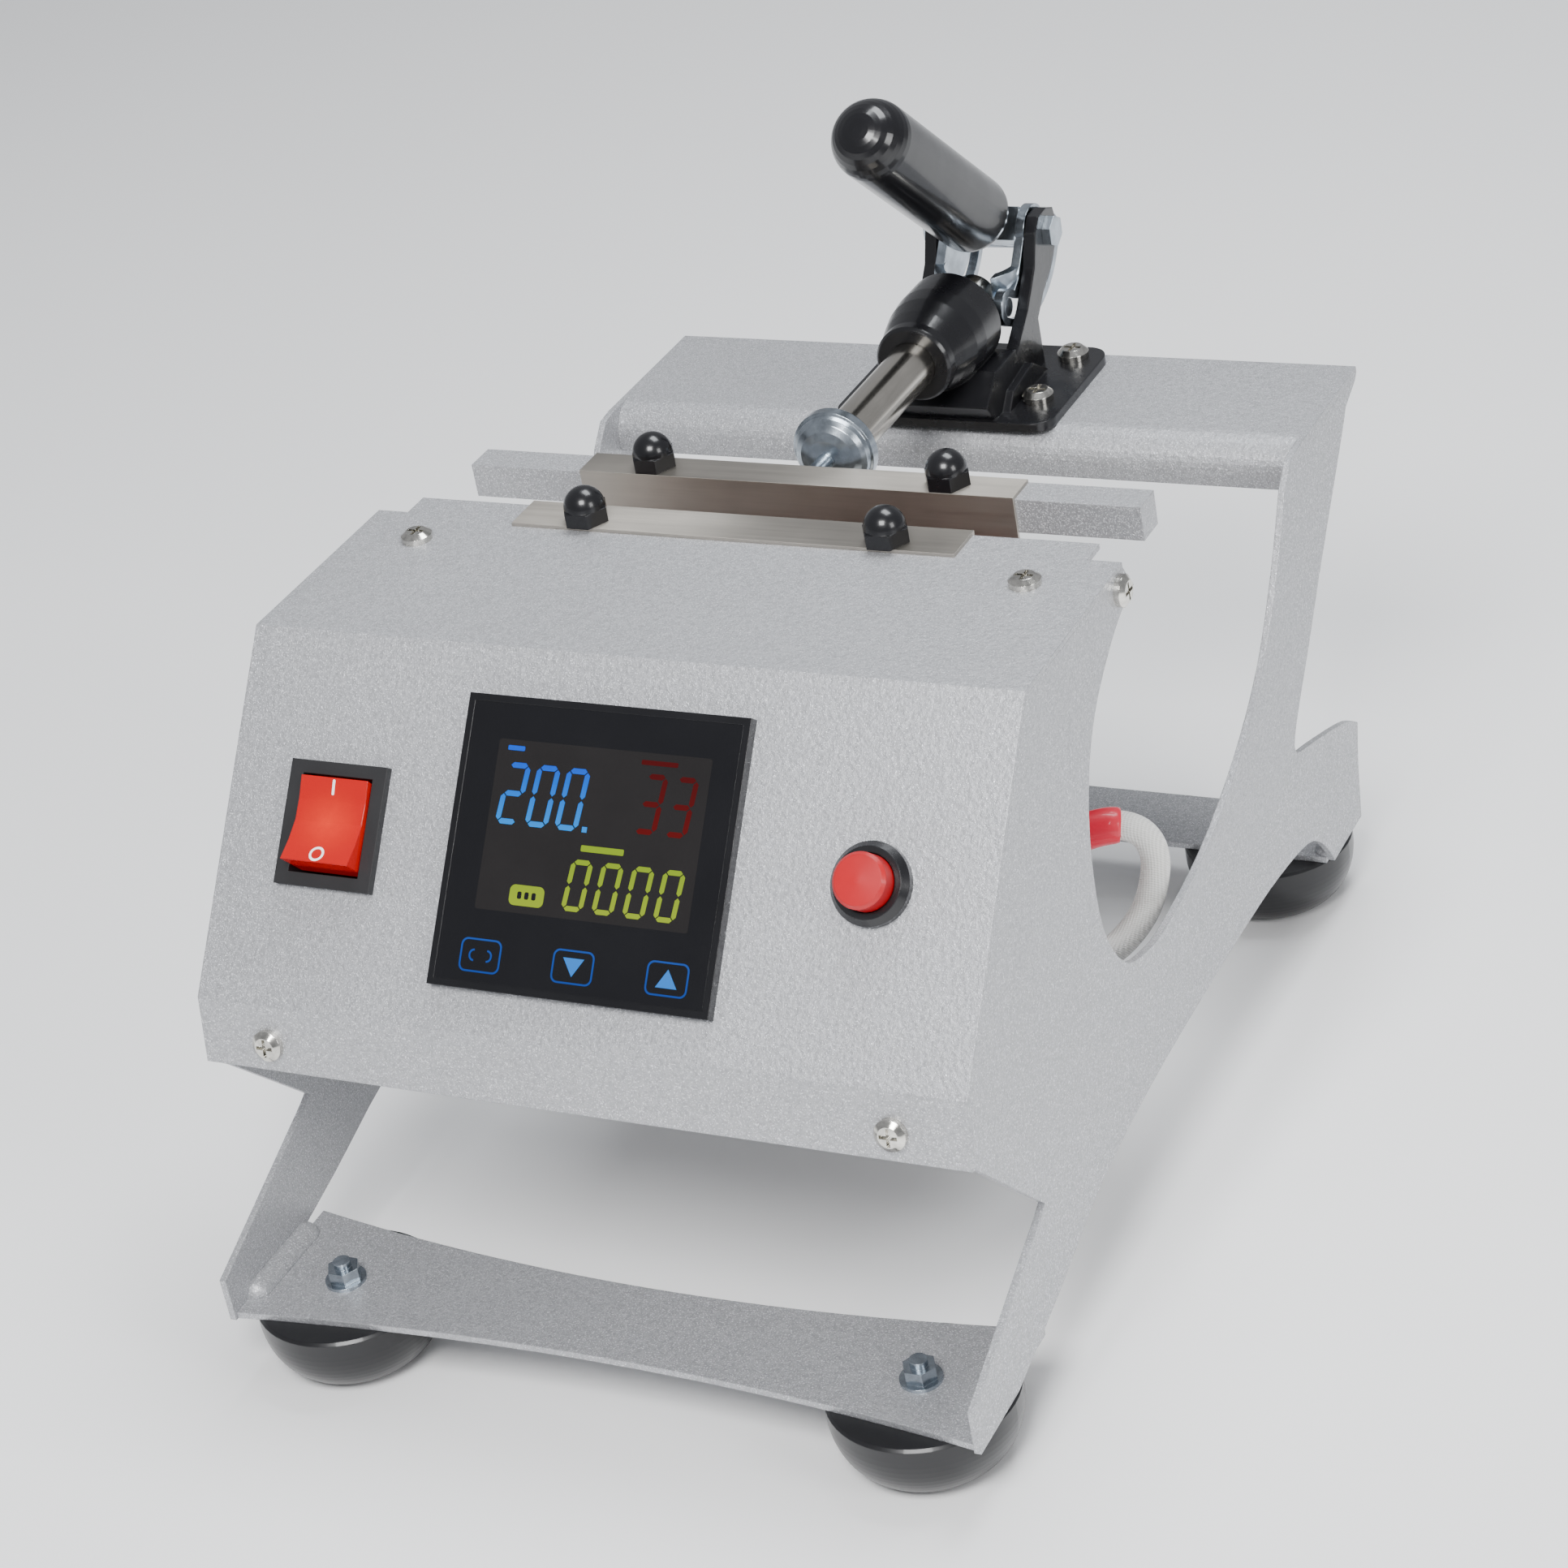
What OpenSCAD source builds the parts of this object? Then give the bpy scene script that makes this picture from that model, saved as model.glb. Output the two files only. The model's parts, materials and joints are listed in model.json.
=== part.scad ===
// Mug heat press, millimetres. Origin under the middle of the footprint, +Z up, front at -Y.

/* [Body] */
// Width over the outer faces of the two side plates
body_w = 235; // [190:1:290]
// Depth from the front corner of a side plate to its rear heel
body_d = 325; // [280:1:390]
// Height of the clamp bridge above the floor
bridge_h = 165; // [145:1:200]
// Side plate and rail sheet thickness
plate_t = 2; // [1.5:0.1:3]
// Cover sheet thickness
cover_t = 1.5; // [1:0.1:2]
// Foot height
foot_h = 22; // [16:1:30]
// Foot radius at its top
foot_r = 27; // [20:1:32]

/* [Panel] */
// Temperature controller width
disp_w = 86; // [70:1:96]
// Temperature controller height
disp_h = 80; // [66:1:86]
// Rocker bezel width
rocker_w = 31; // [28:0.5:34]
// Rocker bezel height
rocker_h = 35; // [32:0.5:40]
// Push button collar diameter
collar_d = 22.5; // [20:0.5:28]

/* [Loop] */
// Inside radius of the heater loop, half of the mug diameter
mug_r = 41; // [32:0.5:44]
// Heater mat thickness
mat_t = 3; // [2:0.1:4]
// Heater mat and steel jacket width
mat_w = 140; // [110:1:170]
// Steel jacket thickness
jacket_t = 1; // [0.8:0.1:1.5]
// Side of the square slide bar
bar_s = 10.5; // [9:0.5:13]

/* [Clamp] */
// Plunger rod diameter
plunger_d = 15; // [12:0.5:16]
// Plunger travel
travel = 26; // [20:1:27]
// Grip diameter
grip_d = 25; // [20:0.5:27]
// Grip length
grip_l = 92; // [75:1:105]
// Handle lean from upright at rest
handle_lean = 50; // [42:1:56]
// Angle the handle swings back to open the clamp
swing = 65; // [55:1:70]

/* [Fits] */
// Running clearance of shafts, radial
run_c = 0.05; // [0.02:0.01:0.1]
// Clearance of screws in their holes, radial
screw_c = 0.15; // [0.1:0.05:0.3]

/* [Hidden] */
kd = body_d / 325;
kh = (bridge_h - foot_h) / 143;
function Y(v) = v * kd;
function Z(v) = foot_h + (v - 22) * kh;
w2 = body_w / 2;
wi = w2 - plate_t;
foot_x = w2 - 26.5;
foot_yf = Y(22.3);
foot_yr = Y(304);

// box outline, outer skin of the cover
q0 = [Y(20.9), Z(98.1)];
q1 = [Y(24.2), Z(117.7)];
q2 = [Y(91.3), Z(199.5)];
q3 = [Y(160.8), Z(199.5)];
top_z = Z(199.5);
panel_a = atan2(q2[1] - q1[1], q2[0] - q1[0]);
panel_l = norm(q2 - q1);
low_a = atan2(q1[1] - q0[1], q1[0] - q0[0]);
function nrm(a, b) = [(b - a)[1], -(b - a)[0]] / norm(b - a);
function meet(a, b, c, d) = let (u = b - a, v = d - c, w = c - a, k = (w[0] * v[1] - w[1] * v[0]) / (u[0] * v[1] - u[1] * v[0])) a + u * k;
function bend(a, b, c, t) = meet(a + nrm(a, b) * t, b + nrm(a, b) * t, b + nrm(b, c) * t, c + nrm(b, c) * t);
function skin(t) = [q0 + nrm(q0, q1) * t, bend(q0, q1, q2, t), bend(q1, q2, q3, t), [q3[0], top_z - t]];

// loop and bar
gap_yf = Y(171);
bar_y0 = gap_yf + 28;
axis_z = bridge_h + 27;
bar_z0 = axis_z + 3.5 - bar_s;
loop_y = (gap_yf - jacket_t + bar_y0) / 2;
loop_ro = mug_r + mat_t + jacket_t;
gap_h = bar_y0 - loop_y;
loop_z = axis_z - 14.5 - sqrt(loop_ro * loop_ro - gap_h * gap_h);

// clamp
bar_y1 = bar_y0 + bar_s;
head_l = 22;
bore_r = plunger_d / 2 + run_c;
piv_y = bar_y0 + 156;
piv_z = axis_z + 14.5;
pin_y = piv_y - travel;
barrel_y0 = piv_y - 69;
barrel_y1 = piv_y - 35;
pin_r = 3;
slot_r = pin_r + 0.15;
piv_r = 3.5;
yoke_xi = 11.5;
yoke_t = 3;
ear_x = yoke_xi + yoke_t + 0.5;
ear_t = 4;
base_y0 = piv_y - 58;
base_y1 = piv_y - 3;
bridge_y1 = Y(353);
yoke_rear = piv_y + (piv_z - axis_z) * sin(swing) + slot_r + 2.6;
y_mid = (foot_yf - foot_r + max(yoke_rear, bridge_y1)) / 2;

// panel items, across and up the sloped face
disp_v = panel_l * 0.4915;
rocker_u = -(w2 - 36);
rocker_v = panel_l * 0.488;
btn_u = w2 - 34.5;
btn_v = panel_l * 0.494;
btn_r = 8.5;
strip_y0 = gap_yf - 14;
cap_x = 47.5;
cap_yf = strip_y0 + 5;
cap_yr = bar_y0 + bar_s / 2;
cover_sx = w2 - 22;
side_sy = Y(157);
side_sz = Z(193);
cable_r = 4.25;
wall_y = Y(112);
$fn = 48;

PAINT = [0.66, 0.67, 0.69];
STEEL = [0.62, 0.6, 0.56];
ZINC = [0.75, 0.78, 0.8];
BLACK = [0.04, 0.04, 0.045];

module at() translate([0, -y_mid, 0]) children();
// a (y, z) outline, extruded along x
module yz(x0, t) translate([x0, 0, 0]) rotate([90, 0, 90]) linear_extrude(t) children();
module both() { children(); mirror([1, 0, 0]) children(); }
// local z is the outward normal of the sloped face, local y runs up it
module on_panel(u, v) translate([u, q1[0] + v * cos(panel_a), q1[1] + v * sin(panel_a)]) rotate([panel_a, 0, 0]) children();
module on_low(u, v) translate([u, q0[0] + v * cos(low_a), q0[1] + v * sin(low_a)]) rotate([low_a, 0, 0]) children();
module along_y(y0) translate([0, y0, 0]) rotate([-90, 0, 0]) children();
module along_x(y, z) translate([0, y, z]) rotate([0, 90, 0]) children();

// smooth curve through hand-set points
function cr(a, b, c, d, t) = 0.5 * ((2 * b) + (c - a) * t + (2 * a - 5 * b + 4 * c - d) * t * t + (3 * b - a - 3 * c + d) * t * t * t);
function clampi(i, n) = max(0, min(n - 1, i));
function smooth(p, k) = [for (i = [0:len(p) - 2], j = [0:k - 1])
  cr(p[clampi(i - 1, len(p))], p[i], p[i + 1], p[clampi(i + 2, len(p))], j / k), p[len(p) - 1]];
function YZ(p) = [for (q = p) [Y(q[0]), Z(q[1])]];

cut = smooth(YZ([[166.6, 189.5], [157.2, 187.1], [145.5, 181.2], [130.8, 169.6], [121.5, 154.5], [116.5, 134],
  [117.5, 110], [127.8, 92], [143, 85.5], [160, 84], [193, 88], [225.3, 99.5], [250.9, 115.5], [270, 137.2], [283.1, 157.6]]), 4);
column = smooth(YZ([[341, 157], [333.5, 148.4], [305.6, 119.5], [288.5, 100.6], [277.4, 89.2], [270, 80], [270.5, 74.5], [283.6, 70.2],
  [302.5, 64.1], [316, 59], [324, 54]]), 3);
under = smooth(YZ([[291, 24], [283, 34], [270.6, 41.4], [245, 45.5], [220.6, 46.9], [176, 47.2], [131.7, 45.8], [95.1, 41.4], [60, 31], [26, 22]]), 3);

module side_2d() {
  s = skin(cover_t);
  polygon(concat([[0, foot_h], [0, Z(36)], [Y(54), Z(58.7)], [Y(57.9), Z(60.8)], [Y(55.6), Z(63.2)], [s[0][0], q0[1]]],
    [s[1], s[2], [q3[0], top_z - cover_t]], cut,
    [[Y(290), bridge_h - 0.8], [Y(296), bridge_h], [Y(306), bridge_h], [Y(306), bridge_h - plate_t], [bridge_y1, bridge_h - plate_t], [Y(351), bridge_h - 4]],
    column, [[Y(321), Z(41)], [Y(319), foot_h], [Y(292), foot_h]], under));
}
module side_plate() difference() {
  yz(wi, plate_t) side_2d();
  along_x(side_sy, side_sz) cylinder(h = body_w, r = 2 + screw_c);
}
module right_side_plate() color(PAINT) at() side_plate();
module left_side_plate() color(PAINT) at() mirror([1, 0, 0]) side_plate();

rail_n = 16;
function arc_y(x, y_end, y_mid_) = y_mid_ + (y_end - y_mid_) * (x / wi) * (x / wi);
module front_foot_rail() color(PAINT) at() difference() {
  translate([0, 0, foot_h]) linear_extrude(plate_t) polygon(concat(
    [for (i = [-rail_n:rail_n]) [wi * i / rail_n, arc_y(wi * i / rail_n, Y(1), Y(9))]],
    [for (i = [rail_n:-1:-rail_n]) [wi * i / rail_n, arc_y(wi * i / rail_n, Y(50), Y(40))]]));
  both() translate([foot_x, foot_yf, 0]) cylinder(h = 60, r = 2.5 + screw_c);
}
module rear_foot_rail() color(PAINT) at() difference() {
  translate([-wi, foot_yr - 14, foot_h]) cube([2 * wi, 28, plate_t]);
  both() translate([foot_x, foot_yr, 0]) cylinder(h = 60, r = 2.5 + screw_c);
}
module weld_beads() color(PAINT) at() both() intersection() {
  for (r = [[Y(12), Y(38)], [foot_yr - 9, foot_yr + 9]]) translate([wi - 0.6, 0, foot_h + plate_t - 0.6]) {
    translate([0, r[0], 0]) rotate([-90, 0, 0]) cylinder(h = r[1] - r[0], r = 4.6);
    for (y = r) translate([0, y, 0]) sphere(r = 4.6);
  }
  translate([wi - 20, 0, foot_h + plate_t]) cube([20, Y(325), 20]);
}
module clamp_bridge() color(PAINT) at() difference() {
  union() {
    translate([-w2, Y(306), bridge_h - plate_t]) cube([body_w, bridge_y1 - Y(306), plate_t]);
    yz(-wi, 2 * wi) polygon(concat([[Y(306), bridge_h - plate_t], [Y(306), bridge_h]],
      [for (a = [90:10:180]) [Y(306) + 10 * cos(a), bridge_h - 10 + 10 * sin(a)]],
      [[Y(306) - 10, bridge_h - 14], [Y(306) - 10 + plate_t, bridge_h - 14]],
      [for (a = [180:-10:100]) [Y(306) + (10 - plate_t) * cos(a), bridge_h - 10 + (10 - plate_t) * sin(a)]]));
  }
  bolt_spots() cylinder(h = 60, r = 2.5 + screw_c, center = true);
}
module bolt_spots() both() for (y = [base_y0 + 17.5, base_y1 - 7.5]) translate([27, y, bridge_h]) children();

module feet() color(BLACK) at() both() for (y = [foot_yf, foot_yr]) translate([foot_x, y, 0]) rotate_extrude($fn = 64)
  polygon(concat([[2.5 + screw_c, foot_h], [2.5 + screw_c, 8], [0, 8], [0, 2], [foot_r * 0.3, 2], [foot_r * 0.34, 0], [foot_r * 0.55, 0]],
    [for (a = [-78:6:0]) [foot_r * (0.5 + 0.5 * cos(a)), foot_h * 0.8 * (1 + sin(a) / sin(78))]], [[foot_r, foot_h - 0.8], [foot_r - 0.8, foot_h]]));
module foot_bolts() color(ZINC) at() both() for (y = [foot_yf, foot_yr]) translate([foot_x, y, 0]) {
  translate([0, 0, 8]) cylinder(h = foot_h + plate_t - 8 + 7, r = 2.5);
  translate([0, 0, foot_h + plate_t]) cylinder(h = 1, r = 6);
  translate([0, 0, foot_h + plate_t + 1]) cylinder(h = 4, r = 4.9, $fn = 6);
}

ctl_w = 68;
ctl_h = 64;
module front_cover() color(PAINT) at() difference() {
  union() {
    s = skin(cover_t);
    yz(-w2, body_w) polygon([q0, q1, q2, q3, s[3], s[2], s[1], s[0]]);
    translate([-wi + 8, q3[0], top_z - cover_t]) cube([2 * wi - 16, gap_yf - jacket_t - q3[0], cover_t]);
    both() translate([wi - 1.5, side_sy - 7, side_sz - 5.5]) cube([1.5, q3[0] - side_sy + 7, top_z - cover_t - side_sz + 5.5]);
  }
  on_panel(0, disp_v) cube([ctl_w + 0.6, ctl_h + 0.6, 20], center = true);
  on_panel(rocker_u, rocker_v) cube([rocker_w - 5.4, rocker_h - 4.4, 20], center = true);
  on_panel(btn_u, btn_v) cylinder(h = 20, r = btn_r + screw_c, center = true);
  both() on_low(cover_sx, 8) cylinder(h = 20, r = 2 + screw_c, center = true);
  both() translate([cover_sx, Y(145.6), top_z]) cylinder(h = 20, r = 2 + screw_c, center = true);
  both() translate([cap_x, cap_yf, top_z]) cylinder(h = 20, r = 2.5 + screw_c, center = true);
  both() along_x(side_sy, side_sz) cylinder(h = body_w, r = 2 + screw_c);
}
pan_t = 1.2;
module box_pan() color(PAINT) at() difference() {
  union() {
    s = skin(cover_t);
    s2 = skin(cover_t + pan_t);
    fl = [s[0][0] + (s[1][0] - s[0][0]) * 0.8, s[0][1] + (s[1][1] - s[0][1]) * 0.8];
    fl2 = [s2[0][0] + (s[1][0] - s[0][0]) * 0.8, fl[1]];
    yz(-wi, 2 * wi) polygon([s[0] + (s[1] - s[0]) * ((q0[1] - s[0][1]) / (s[1][1] - s[0][1])), fl, fl2, [s2[0][0] + 0.3, q0[1] + pan_t], [wall_y - pan_t, q0[1] + pan_t],
      [wall_y - pan_t, top_z - cover_t], [side_sy - 7.5, top_z - cover_t], [side_sy - 7.5, top_z - cover_t - pan_t], [wall_y, top_z - cover_t - pan_t], [wall_y, q0[1]]]);
  }
  both() on_low(cover_sx, 8) cylinder(h = 20, r = 2 + screw_c, center = true);
  both() translate([cover_sx, Y(145.6), top_z]) cylinder(h = 20, r = 2 + screw_c, center = true);
  translate([-60, wall_y + 5, Z(122)]) rotate([90, 0, 0]) cylinder(h = 20, r = 6 + screw_c);
  translate([cable_x, wall_y + 5, cable_z]) rotate([90, 0, 0]) cylinder(h = 20, r = cable_r + 2);
}
module pan_head(l) { cylinder(h = 1.6, r = 4.6); translate([0, 0, 1.6]) cylinder(h = 1.2, r1 = 4.6, r2 = 3); translate([0, 0, -l]) cylinder(h = l, r = 2); }
module slot_cross() for (a = [0, 90]) rotate([0, 0, a]) translate([-2.6, -0.5, 1.5]) cube([5.2, 1, 3]);
module screw(l) difference() { pan_head(l); slot_cross(); }
module cover_screws() color(ZINC) at() both() {
  on_low(cover_sx, 8) screw(8);
  translate([cover_sx, Y(145.6), top_z]) screw(8);
}
module side_screws() color(ZINC) at() both() translate([w2, side_sy, side_sz]) rotate([0, 90, 0]) screw(8);

module display_bezel() color(BLACK) at() on_panel(0, disp_v) difference() {
  translate([-disp_w / 2, -disp_h / 2, 0]) cube([disp_w, disp_h, 3.2]);
  translate([-disp_w / 2 + 2, -disp_h / 2 + 2, 2.2]) cube([disp_w - 4, disp_h - 4, 3]);
}
module display_glass() color([0.02, 0.02, 0.03]) at() on_panel(0, disp_v)
  translate([-disp_w / 2 + 2.05, -disp_h / 2 + 2.05, 2.2]) cube([disp_w - 4.1, disp_h - 4.1, 1]);
module controller_body() color(BLACK) at() on_panel(0, disp_v) difference() {
  translate([-ctl_w / 2, -ctl_h / 2, -38]) cube([ctl_w, ctl_h, 38]);
  for (i = [-3:3]) translate([i * 8 - 1, -ctl_h, -38 - 1]) cube([2, 2 * ctl_h, 4]);
}
module rocker_bezel() color(BLACK) at() on_panel(rocker_u, rocker_v) difference() {
  union() {
    translate([-rocker_w / 2, -rocker_h / 2, 0]) cube([rocker_w, rocker_h, 2.4]);
    translate([-rocker_w / 2 + 3, -rocker_h / 2 + 2.5, -22]) cube([rocker_w - 6, rocker_h - 5, 22]);
    for (x = [-6, 6]) translate([x - 2.4, -0.4, -30]) cube([4.8, 0.8, 8]);
  }
  translate([-rocker_w / 2 + 4.2, -rocker_h / 2 + 3.7, -16]) cube([rocker_w - 8.4, rocker_h - 7.4, 30]);
  along_x(0, 0) cylinder(h = rocker_w - 6.8, r = 1.5 + run_c, center = true);
}
module rocker_button() color([0.75, 0.05, 0.03]) at() on_panel(rocker_u, rocker_v) {
  rw = rocker_w - 9.4;
  rr = rocker_h / 2 - 4.2;
  rotate([-10, 0, 0]) {
    yz(-rw / 2, rw) polygon([[-rr * 0.92, rr * 0.46], [-rr * 0.9, -6], [rr * 0.9, -6], [rr * 0.92, rr * 0.46], [rr * 0.45, rr * 0.33], [0, rr * 0.27], [-rr * 0.45, rr * 0.33]]);
  }
  both() translate([rw / 2, 0, 0]) rotate([0, 90, 0]) cylinder(h = 1.1, r = 1.5);
}
module button_collar() color(BLACK) at() on_panel(btn_u, btn_v) difference() {
  union() {
    rotate_extrude($fn = 64) polygon([[0, 0], [collar_d / 2, 0], [collar_d / 2, 2.2], [collar_d / 2 - 1.6, 4.2], [0, 4.2]]);
    translate([0, 0, -24]) cylinder(h = 24, r = btn_r - 0.5);
  }
  translate([0, 0, -6]) cylinder(h = 30, r = btn_r - 2 + run_c);
  translate([0, 0, 0]) cylinder(h = 30, r = btn_r - 0.6);
}
module button_cap() color([0.7, 0.03, 0.05]) at() on_panel(btn_u, btn_v) {
  rotate_extrude($fn = 64) polygon([[0, 3.4], [btn_r - 0.9, 3.4], [btn_r - 0.9, 9], [btn_r - 1.8, 10], [0, 10.4]]);
  translate([0, 0, -2]) cylinder(h = 5.5, r = btn_r - 2);
}
module button_nut() color(ZINC) at() on_panel(btn_u, btn_v) difference() {
  translate([0, 0, -cover_t - 4]) cylinder(h = 4, r = btn_r + 3.5, $fn = 6);
  translate([0, 0, -20]) cylinder(h = 30, r = btn_r - 0.5 + screw_c);
}
module relay() color([0.12, 0.12, 0.13]) at() {
  translate([-82, wall_y - 52, q0[1] + pan_t]) cube([46, 40, 3]);
  translate([-78, wall_y - 46, q0[1] + pan_t + 3]) difference() {
    cube([38, 28, 12]);
    for (x = [6, 32]) translate([x, 14, 8]) cylinder(h = 10, r = 3);
  }
}
module terminal_block() color([0.85, 0.85, 0.8]) at() translate([28, wall_y - 34, q0[1] + pan_t]) difference() {
  cube([52, 18, 13]);
  for (i = [0:4]) translate([6 + i * 10, 9, 6]) cylinder(h = 10, r = 2.6);
  for (i = [0:4]) translate([4 + i * 10, -1, 4]) cube([4, 6, 4]);
}
module power_gland() color(BLACK) at() translate([-60, wall_y, Z(122)]) rotate([-90, 0, 0]) difference() {
  union() {
    translate([0, 0, -8]) cylinder(h = 8, r = 6);
    cylinder(h = 4, r = 9, $fn = 6);
    translate([0, 0, 4]) cylinder(h = 8, r1 = 8, r2 = 6);
    translate([0, 0, -pan_t - 4]) cylinder(h = 4, r = 9, $fn = 6);
  }
  translate([0, 0, -20]) cylinder(h = 50, r = 3.6);
}

// a band of the loop between two angles, measured from straight back, in the (y, z) plane
module ring_2d(ri, ro, a0, a1) polygon(concat(
  [for (i = [0:36]) let (a = a0 + (a1 - a0) * i / 36) [loop_y + ro * cos(a), loop_z + ro * sin(a)]],
  [for (i = [36:-1:0]) let (a = a0 + (a1 - a0) * i / 36) [loop_y + ri * cos(a), loop_z + ri * sin(a)]]));
jr = loop_ro;
ji = loop_ro - jacket_t;
mr = ji;
mi = mug_r;
join_a = acos(gap_h / jr);
join_i = acos((gap_h - jacket_t) / ji);
mat_a = acos((gap_h - jacket_t - mat_t) / mi);
jz = loop_z + jr * sin(join_a);
mz = loop_z + mi * sin(mat_a);
split_c = 0.6;
module half_jacket_2d() {
  // rear half: from the bottom round the back and up to the bar
  polygon(concat(
    [for (i = [0:40]) let (a = -90 + split_c + (join_a + 90 - split_c) * i / 40) [loop_y + jr * cos(a), loop_z + jr * sin(a)]],
    [for (i = [40:-1:0]) let (a = -90 + split_c + (join_i + 90 - split_c) * i / 40) [loop_y + ji * cos(a), loop_z + ji * sin(a)]]));
}
module half_mat_2d() {
  ym = loop_y + gap_h - jacket_t;
  ro = ji - 0.05;
  ra = acos((gap_h - jacket_t) / ro);
  polygon(concat(
    [for (i = [0:40]) let (a = -90 + split_c + (ra + 90 - split_c) * i / 40) [loop_y + ro * cos(a), loop_z + ro * sin(a)]],
    [[ym, bar_z0 - 4], [ym - mat_t, bar_z0 - 4]],
    [for (i = [40:-1:0]) let (a = -90 + split_c + (mat_a + 90 - split_c) * i / 40) [loop_y + mi * cos(a), loop_z + mi * sin(a)]]));
}
module to_front() translate([0, 2 * loop_y, 0]) mirror([0, 1, 0]) children();
module rear_jacket() color(STEEL) at() difference() {
  union() {
    yz(-mat_w / 2, mat_w) half_jacket_2d();
    translate([-mat_w / 2, bar_y0 - jacket_t, jz - 0.5]) cube([mat_w, jacket_t, bar_z0 + bar_s + jacket_t - jz + 0.5]);
    translate([-mat_w / 2, bar_y0 - jacket_t, bar_z0 + bar_s]) cube([mat_w, bar_s + jacket_t, jacket_t]);
  }
  both() translate([cap_x, cap_yr, bar_z0]) cylinder(h = 60, r = 2.5 + screw_c);
}
module rear_heater() color([0.55, 0.1, 0.06]) at() yz(-mat_w / 2, mat_w) half_mat_2d();
module front_jacket() color(STEEL) at() difference() {
  union() {
    to_front() yz(-mat_w / 2, mat_w) half_jacket_2d();
    translate([-mat_w / 2, gap_yf - jacket_t, jz - 0.5]) cube([mat_w, jacket_t, top_z + jacket_t - jz + 0.5]);
    translate([-mat_w / 2, strip_y0, top_z]) cube([mat_w, gap_yf - strip_y0, jacket_t]);
  }
  both() translate([cap_x, cap_yf, top_z - 10]) cylinder(h = 60, r = 2.5 + screw_c);
}
module front_heater() color([0.55, 0.1, 0.06]) at() to_front() yz(-mat_w / 2, mat_w) half_mat_2d();

module acorn() difference() {
  union() {
    cylinder(h = 4.4, r = 7, $fn = 6);
    translate([0, 0, 4.4]) intersection() { sphere(r = 6.1); translate([-10, -10, 0]) cube(20); }
  }
  translate([0, 0, -1]) cylinder(h = 7.5, r = 2.5 + 0.05);
}
module stud(below, above) { translate([0, 0, -below]) cylinder(h = below + above, r = 2.5); translate([0, 0, -below - 3.5]) cylinder(h = 3.5, r = 4.6, $fn = 6); }
module front_caps() color(BLACK) at() both() translate([cap_x, cap_yf, top_z + jacket_t]) acorn();
module strip_bolts() color(ZINC) at() both() translate([cap_x, cap_yf, top_z + jacket_t]) stud(jacket_t + cover_t, 5);
module slide_bar() color(PAINT) at() difference() {
  translate([-w2 + 9.5, bar_y0, bar_z0]) cube([body_w - 19, bar_s, bar_s]);
  both() translate([cap_x, cap_yr, 0]) cylinder(h = 300, r = 2.5 + screw_c);
  along_y(bar_y1 - 6) translate([0, -axis_z, 0]) cylinder(h = 20, r = 2.55);
}
module rear_caps() color(BLACK) at() both() translate([cap_x, cap_yr, bar_z0 + bar_s + jacket_t]) acorn();
module bar_bolts() color(ZINC) at() both() translate([cap_x, cap_yr, bar_z0 + bar_s + jacket_t]) stud(jacket_t + bar_s, 5);

// heater lead, swept along set points from the mat's right edge into the box
cable_x = w2 - 31.5;
cable_z = Z(108.5);
cable_pts = [[mat_w / 2 + 0.05, loop_y - 20, loop_z - 38.5], [mat_w / 2 + 3, loop_y - 20, loop_z - 38.5], [mat_w / 2 + 11, loop_y - 19, loop_z - 36], [w2 - 28, loop_y - 15.5, loop_z - 30],
  [w2 - 17, loop_y - 11, loop_z - 28.5], [w2 - 10.5, loop_y - 8, loop_z - 34], [w2 - 9, loop_y - 8.5, loop_z - 44],
  [w2 - 12, loop_y - 15, loop_z - 56], [w2 - 18, loop_y - 30, loop_z - 60], [w2 - 24, Y(136), Z(86.5)], [cable_x, Y(126), Z(101.5)],
  [cable_x, wall_y + 8, cable_z], [cable_x, wall_y + 3, cable_z], [cable_x, wall_y - 10, cable_z]];
cable_path = smooth(cable_pts, 5);
sides = 10;
function unit(v) = v / norm(v);
function tan_at(p, i) = unit(p[min(i + 1, len(p) - 1)] - p[max(i - 1, 0)]);
function side_of(t) = unit(cross(t, abs(t[2]) > 0.8 ? [0, 1, 0] : [0, 0, 1]));
function carried(p, i) = i == 0 ? side_of(tan_at(p, 0)) : let (s = carried(p, i - 1), t = tan_at(p, i)) unit(s - t * (s * t));
module tube(p, r) {
  n = len(p);
  pts = [for (i = [0:n - 1]) let (t = tan_at(p, i), s = carried(p, i), u = cross(t, s)) for (j = [0:sides - 1]) p[i] + r * (s * cos(360 * j / sides) + u * sin(360 * j / sides))];
  polyhedron(points = pts, faces = concat([[for (j = [0:sides - 1]) j]], [[for (j = [sides - 1:-1:0]) (n - 1) * sides + j]],
    [for (i = [0:n - 2], j = [0:sides - 1]) [i * sides + j, (i + 1) * sides + j, (i + 1) * sides + (j + 1) % sides, i * sides + (j + 1) % sides]]), convexity = 6);
}
module heater_cable() color([0.9, 0.89, 0.86]) at() tube(cable_path, cable_r);
collar_path = [for (i = [14:20]) cable_path[i]];
module cable_collar() color([0.75, 0.04, 0.08]) at() difference() {
  tube(collar_path, cable_r + 1.2);
  tube(cable_path, cable_r + 0.05);
}
module cable_grommet() color(BLACK) at() translate([cable_x, wall_y, cable_z]) rotate([-90, 0, 0]) difference() {
  union() {
    cylinder(h = 1.5, r = cable_r + 3.3);
    translate([0, 0, -pan_t]) cylinder(h = pan_t, r = cable_r + 1.95);
    translate([0, 0, -pan_t - 1.5]) cylinder(h = 1.5, r = cable_r + 3.3);
  }
  translate([0, 0, -10]) cylinder(h = 20, r = cable_r + 0.3);
}

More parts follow.
